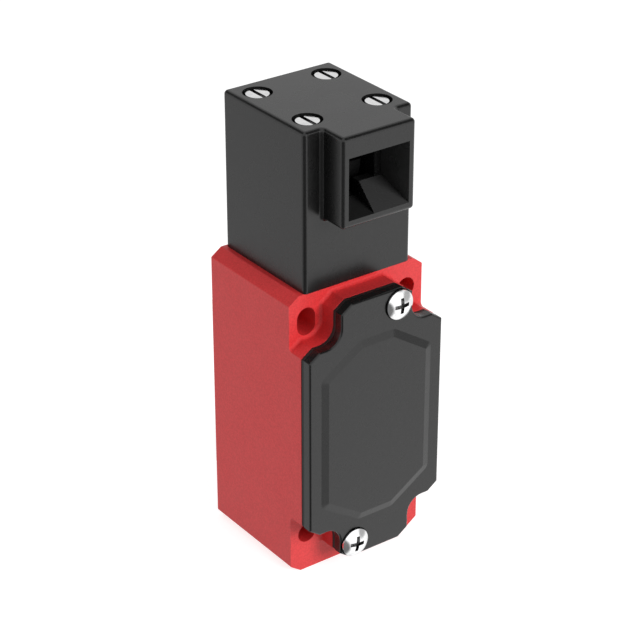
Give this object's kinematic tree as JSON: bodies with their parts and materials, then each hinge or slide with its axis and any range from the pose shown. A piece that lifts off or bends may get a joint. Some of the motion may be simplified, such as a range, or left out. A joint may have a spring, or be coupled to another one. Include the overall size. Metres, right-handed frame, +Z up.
{
  "type": "safety interlock switch",
  "caption": "Key-operated safety interlock switch: red body with lift-off black cover, black head with a front keyway, cam, plunger and changeover contacts.",
  "frame": {"origin": "middle of the four-hole fixing pattern, on the mounting face", "axes": "+X along the front, +Y from the cover back into the mounting surface, +Z up from the cable entry to the head"},
  "size_m": [0.04, 0.0433, 0.1193],
  "materials": {
    "red_body": "fine textured moulding",
    "black_head": "satin moulding",
    "black_cover": "satin moulding",
    "bright_screw": "bright plated steel",
    "pin_steel": "ground steel",
    "spring_steel": "drawn spring wire",
    "brass": "stamped and turned brass",
    "silver": "silver contact tips",
    "seal_rubber": "black nitrile rubber",
    "inner_black": "glass-filled moulding",
    "carrier_white": "off-white low-friction moulding",
    "cam_black": "black low-friction moulding"
  },
  "bodies": {
    "switch": {"body_housing": "red_body", "cover_inserts": "brass", "head_inserts": "brass", "head_housing": "black_head", "head_seal": "seal_rubber", "head_screws": "bright_screw", "cam_axle": "pin_steel", "cam_washers": "pin_steel", "head_guide": "inner_black", "plunger_wiper": "seal_rubber", "contact_block": "inner_black", "nc_strips": "brass", "no_strips": "brass", "fixed_tips": "silver", "terminal_clamps": "pin_steel", "terminal_screws": "bright_screw", "block_screws": "bright_screw"},
    "cam": {"cam_wheel": "cam_black"},
    "plunger": {"head_plunger": "pin_steel", "plunger_spring": "spring_steel"},
    "carrier": {"contact_carrier": "carrier_white", "nc_bridge": "brass", "no_bridge": "brass", "bridge_tips": "silver", "bridge_springs": "spring_steel", "carrier_spring": "spring_steel"},
    "cover": {"front_cover": "black_cover", "cover_gasket": "seal_rubber", "cover_screws": "bright_screw"}
  },
  "joints": [
    {"name": "cam_turn", "type": "hinge", "parent": "switch", "child": "cam", "pos_m": [0, -0.0172, 0.064], "axis": [-1, 0, 0], "range_deg": [0, 60]},
    {"name": "plunger_slide", "type": "slide", "parent": "switch", "child": "plunger", "axis": [0, 0, 1], "range_m": [0, 0.00314], "deforming": ["plunger_spring"]},
    {"name": "carrier_slide", "type": "slide", "parent": "switch", "child": "carrier", "axis": [0, 0, 1], "range_m": [0, 0.00315], "deforming": ["carrier_spring"]},
    {"name": "cover_lift", "type": "slide", "parent": "switch", "child": "cover", "axis": [0, -1, 0], "range_m": [0, 0.03]}
  ],
  "couplings": [
    {"joint": "cam_turn", "follows": "plunger_slide", "rad_per_m": 333.33},
    {"joint": "carrier_slide", "follows": "plunger_slide", "ratio": 1}
  ]
}
